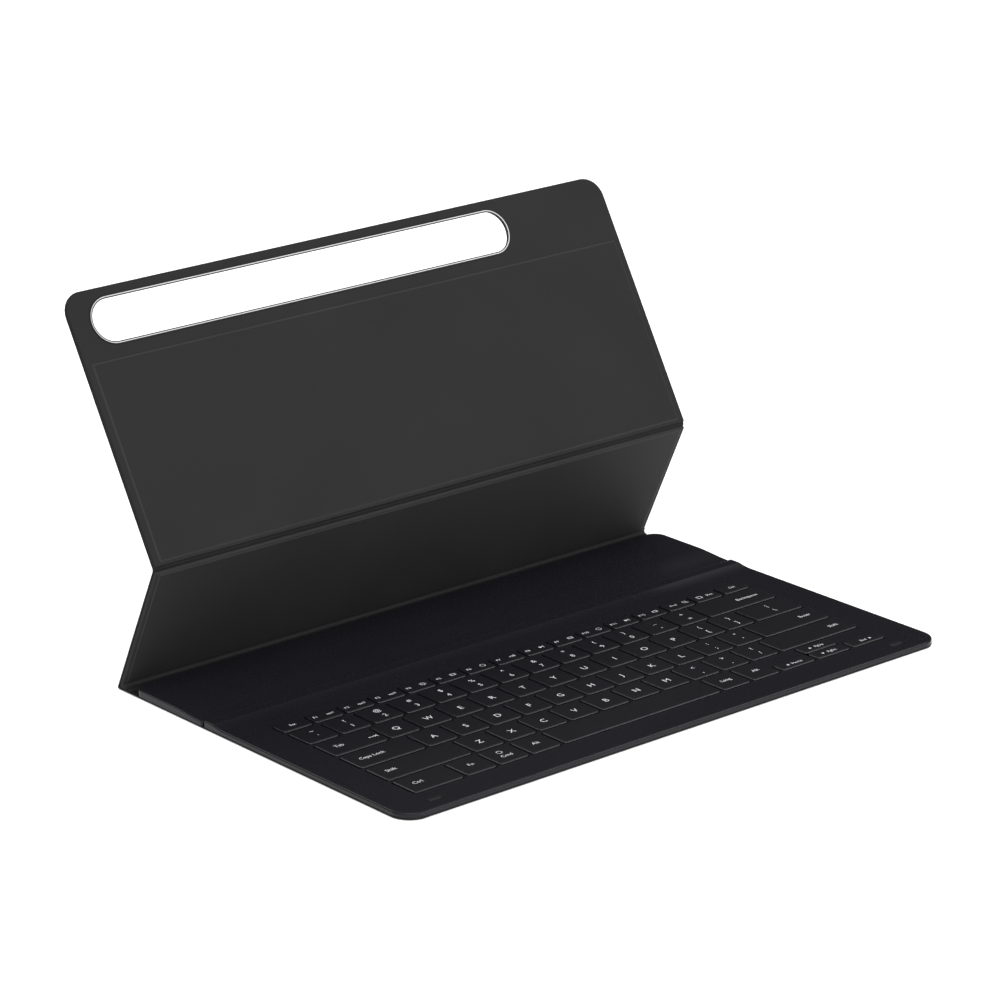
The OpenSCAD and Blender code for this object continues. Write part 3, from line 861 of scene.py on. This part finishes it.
def skin_stand_to_back():
    """Round the top crease and up the back panel, whose top edge is rounded."""
    climb = panel_stations(BACK_ANGLE, TOP_YZ, [1.8, 3.5, 40.0, 80.0, 115.0, 122.9])
    near_top = [(v, HALF_SKIN) for v in (124.9, 126.9, 128.9, 130.4, 131.4, 132.3, 132.9)]
    near_top += [(133.3, 0.36), (133.6, 0.28), (133.8, 0.18), (133.88, 0.08)]
    climb += [(at_panel(BACK_ANGLE, TOP_YZ, v), (-math.sin(BACK_ANGLE), math.cos(BACK_ANGLE)),
               half_width(v, 0, BACK_L, CORNER_R), t) for v, t in near_top]
    skin = sheet("skin_stand_to_back", panel_stations(STAND_ANGLE, BASE_YZ, [STAND_MID, 66.0, 72.4])
                 + bend_stations(STAND_ANGLE, TOP_YZ, BACK_ANGLE) + climb)
    cut(skin, slot_cutter())
    bend(skin, ("stand_panel", "back_panel"), across(TOP_YZ, (STAND_ANGLE + BACK_ANGLE) / 2, 1.1), "skin",
         "top_crease", "stand_outer_skin", "back_outer_skin")


skin_deck_to_rear()
skin_rear_to_spine()
skin_spine_to_stand()
skin_stand_to_back()


# ---------------------------------------------------------------- inner faces of the spine and panels

LINING_LOW = SKIN_T - 0.02
SPINE_TOP = SKIN_T + 0.6
SPINE_LINING = SKIN_T + 0.58


def spine_face():
    def ring(inset):
        return outline(CASE_W - 1.2, SPINE_Y + 1.5, BASE_Y - 2.0, 1.0, 1.0, inset, 6)

    profile = [(0, LINING_LOW)] + [(inset, SPINE_TOP - drop) for inset, drop in edge_round(0.5)]
    ride(stack("spine_face", LINING, ring, profile), "spine", "lining", "spine_strip")


def stepped_face(name, material, highlight_material, place, w, y0, y1, front_r, rear_r, border_z, step):
    """A panel's inner face: a border with a rounded edge, and a middle that stands a little above it.
    step is (side, front, rear) distances from the edge to the step, then its width and corner radius."""
    b = Build()
    seg = 8
    loops = [[(x, y, FACE_LOW) for x, y in outline(w, y0, y1, front_r, rear_r, 0.0, seg)]]
    for inset, drop in edge_round(FACE_EDGE_R):
        loops.append([(x, y, border_z - drop) for x, y in outline(w, y0, y1, front_r, rear_r, inset, seg)])
    border = b.loft(loops)
    b.cap(border[0], flip=True)
    side, near, far, slope, corner = step
    climb = []
    for f in line(0, 1, 8):
        z = border_z + (PANEL_IN - border_z) * (1 - math.cos(math.pi * f)) / 2
        foot = outline(w - 2 * side, y0 + near, y1 - far, corner, corner, slope * f, seg)
        climb.append([(x, y, z) for x, y in foot])
    middle = b.loft(climb)
    b.cap(border[-1], [middle[0]])
    b.cap(middle[-1])
    obj = b.make(name, material, place)
    # the step's slope, the pressed line, gets the second material: a painted highlight
    paint_between(obj, place, highlight_material, border_z + 0.01, PANEL_IN - 0.01)
    return obj


def curve(start, turn, end, n):
    """A curve from start to end that leaves and arrives in the direction of the turning point."""
    return [tuple((1 - f) ** 2 * start[k] + 2 * f * (1 - f) * turn[k] + f * f * end[k] for k in (0, 1))
            for f in line(0, 1, n)]


def crossing(height, offset, v):
    """Where a level line meets the line at an offset from the stand panel, and the point v along that one."""
    end = at_panel(STAND_ANGLE, BASE_YZ, v, offset)
    reach = (end[1] - height) / math.sin(STAND_ANGLE)
    return (end[0] - reach * math.cos(STAND_ANGLE), height), end


def lining_over_base_crease():
    """The soft hollow where the lining runs from the spine up the stand panel, filled down to the skin."""
    start = (209.4, SPINE_LINING)
    corner, end = crossing(SPINE_LINING, 1.96, 5.2)
    skin_corner, skin_end = crossing(LINING_LOW, FACE_LOW, 5.2)
    under = [(y, LINING_LOW) for y in line(start[0], skin_corner[0], 6)]
    under += list(zip(line(skin_corner[0], skin_end[0], 6), line(skin_corner[1], skin_end[1], 6)))[1:]
    section = curve(start, corner, end, 12) + under[::-1]
    b = Build()
    half = CASE_W / 2 - 0.55
    left, right = (b.loop([(x, y, z) for y, z in section]) for x in (-half, half))
    b.bridge(left, right)
    b.cap(left)
    b.cap(right, flip=True)
    # the stand panel's lighter copy of the lining: painted light
    bend(b.make("lining_over_base_crease", STAND_LINING_PAINTED_LIGHT), ("spine", "stand_panel"), (start, end), "lining")


spine_face()
# the stand panel's face takes the lighter copies of the lining and of its pressed line: painted light
stand_face = stepped_face("stand_face", STAND_LINING_PAINTED_LIGHT, STAND_EMBOSS_PAINTED_HIGHLIGHT, STAND, CASE_W - 1.0, 2.7, STAND_L - 0.8,
                          0.6, 0.6, 1.95, (2.0, 1.0, 0.9, 0.9, 1.2))
ride(stand_face, "stand_panel", "lining", "stand_lining")
lining_over_base_crease()
# the back panel's pressed line takes its painted highlight
back_face = stepped_face("back_face", LINING, EMBOSS_LINE_PAINTED_HIGHLIGHT, BACK, CASE_W - 0.6, 0.8, BACK_L - 0.3,
                         0.6, CORNER_R - 0.3, 1.8, (3.5, 1.6, 34.4, 1.1, 1.0))
cut(back_face, slot_cutter())
ride(back_face, "back_panel", "lining", "back_lining")

# the slot's rim: how far out from the slot's edge, and the height, round its section. Faces whose
# middle is between the two highlight heights get a pale painted highlight.
RIM_SECTION = [(0.74, -0.36), (0.62, -0.42), (0.1, -0.42), (0.0, -0.32), (0.0, 1.5), (-0.8, 1.6),
               (-0.8, 1.85), (-0.72, 1.93), (-0.25, 1.93), (0.2, 2.1), (0.6, 2.12), (0.72, 2.06), (0.74, 1.8)]
RIM_HIGHLIGHT_LOW = 1.98
RIM_HIGHLIGHT_HIGH = 2.05


def slot_rim():
    b = Build()
    rings = b.loft([[(x, y, z) for x, y in stadium(grow=g, seg=ROUND_END, **SLOT)] for g, z in RIM_SECTION])
    b.bridge(rings[-1], rings[0])
    rim = b.make("slot_rim_ring", RIM, BACK, 25)
    # the rim's slanted face gets the painted highlight
    paint_between(rim, BACK, RIM_PAINTED_HIGHLIGHT, RIM_HIGHLIGHT_LOW, RIM_HIGHLIGHT_HIGH)
    ride(rim, "back_panel", "rim_plastic", "slot_rim")


slot_rim()


# ---------------------------------------------------------------- floor, light and camera

FLOOR_HALF = 8

floor_mesh = bpy.data.meshes.new("floor")
floor_mesh.from_pydata([(x * FLOOR_HALF, y * FLOOR_HALF, 0) for x, y in ((-1, -1), (1, -1), (1, 1), (-1, 1))],
                       [], [(0, 1, 2, 3)])
pale = surface("pale_floor", (0.86, 0.86, 0.86), 0.8, 0.01, 0.02, mottle=0.005, specular=0.1)
pale_shader = pale.node_tree.nodes["Principled BSDF"]
pale_shader.inputs["Emission Color"].default_value = (1, 1, 1, 1)
pale_shader.inputs["Emission Strength"].default_value = 0.4
floor_mesh.materials.append(pale)
floor = bpy.data.objects.new("floor", floor_mesh)
floor.location.z = -0.0003
bpy.context.scene.collection.objects.link(floor)

# the room: dark around the horizon and bright overhead
world = bpy.data.worlds.new("studio")
world.use_nodes = True
nodes, links = world.node_tree.nodes, world.node_tree.links
direction = nodes.new("ShaderNodeSeparateXYZ")
links.new(nodes.new("ShaderNodeTexCoord").outputs["Generated"], direction.inputs["Vector"])
sky = nodes.new("ShaderNodeValToRGB")
sky.color_ramp.interpolation = "EASE"
sky.color_ramp.elements[0].position = 0.42
sky.color_ramp.elements[0].color = (0.02, 0.02, 0.021, 1)
sky.color_ramp.elements[1].position = 0.74
sky.color_ramp.elements[1].color = (0.8, 0.8, 0.8, 1)
links.new(direction.outputs["Z"], sky.inputs["Fac"])
links.new(sky.outputs["Color"], nodes["Background"].inputs["Color"])
nodes["Background"].inputs["Strength"].default_value = 1.0
bpy.context.scene.world = world
bpy.context.scene.view_settings.view_transform = "Standard"


def aimed(name, data, place, aim):
    obj = bpy.data.objects.new(name, data)
    obj.location = place
    obj.rotation_euler = (Vector(aim) - Vector(place)).to_track_quat("-Z", "Y").to_euler()
    bpy.context.scene.collection.objects.link(obj)


def softbox(name, place, aim, size, power):
    light = bpy.data.lights.new(name, "AREA")
    light.shape = "RECTANGLE"
    light.size, light.size_y = size
    light.energy = power
    aimed(name, light, place, aim)


# a broad, even light from above keeps the floor white, a low one in front lights the panels' inner faces,
# and two small ones pick out the front and left edges
broad = bpy.data.lights.new("broad_overhead", "SUN")
broad.angle = math.radians(42)
broad.energy = 1.8
aimed("broad_overhead", broad, (-0.5, -0.6, 1.6), (0, 0, 0))
softbox("front_low", (0.35, -2.4, 0.5), (0, 0.05, 0.06), (1.8, 0.9), 30)
softbox("front_edge", (1.52, -1.12, 1.5), (0, 0, 0), (0.8, 0.8), 14)
softbox("left_edge", (-0.55, 1.9, 1.6), (-0.1, 0, 0), (1.0, 0.8), 9)

# the camera stands in front on the left and looks down on the case
azimuth = math.radians(-39.868)
elevation = math.radians(18.789)
roll = math.radians(-0.708)
camera_data = bpy.data.cameras.new("camera")
camera_data.sensor_width = 36
camera_data.lens = 149.87
camera_data.clip_end = 50
camera = bpy.data.objects.new("camera", camera_data)
back = Vector((math.sin(azimuth) * math.cos(elevation), -math.cos(azimuth) * math.cos(elevation),
               math.sin(elevation)))
level = Vector((0, 0, 1)).cross(back).normalized()
upright = back.cross(level)
right = math.cos(roll) * level + math.sin(roll) * upright
above = -math.sin(roll) * level + math.cos(roll) * upright
turn = Matrix((right, above, back)).transposed().to_4x4()
camera.matrix_world = Matrix.Translation((-1.18846, -1.36547, 0.70759)) @ turn
bpy.context.scene.collection.objects.link(camera)
bpy.context.scene.camera = camera
